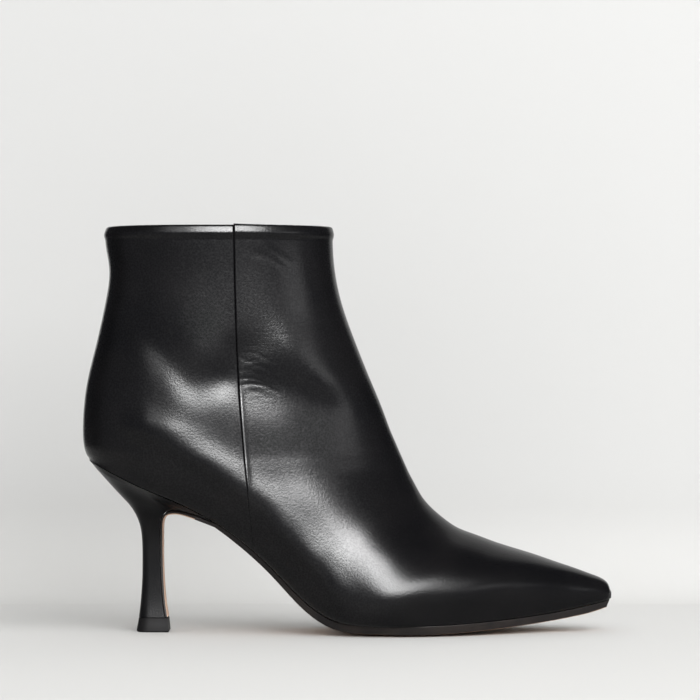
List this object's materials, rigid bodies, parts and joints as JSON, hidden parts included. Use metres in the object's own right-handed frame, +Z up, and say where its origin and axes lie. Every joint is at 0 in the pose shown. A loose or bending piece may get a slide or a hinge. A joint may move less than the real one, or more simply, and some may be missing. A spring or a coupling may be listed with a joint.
{
  "type": "heeled ankle boot",
  "caption": "Heeled ankle boot for the right foot: smooth black leather upper over a pointed last, closed side seams, thin nude sole and a slim flared heel.",
  "frame": {"origin": "middle of the boot's box on the floor that sole and heel stand on", "axes": "+X towards the toe, +Y towards the inner side of the foot, +Z up"},
  "size_m": [0.2576, 0.0784, 0.1972],
  "materials": {
    "upper_leather": "smooth black leather with a soft sheen and fine grain",
    "insole_leather": "matte sand-coloured sock lining",
    "outsole_leather": "nude sole face with a black painted edge",
    "heel_leather": "smooth black leather wrapped over the heel block",
    "top_piece_rubber": "satin black heel tread"
  },
  "bodies": {
    "root": {"upper": "upper_leather", "insole": "insole_leather", "outsole": "outsole_leather", "heel": "heel_leather", "top_piece": "top_piece_rubber"}
  },
  "joints": []
}
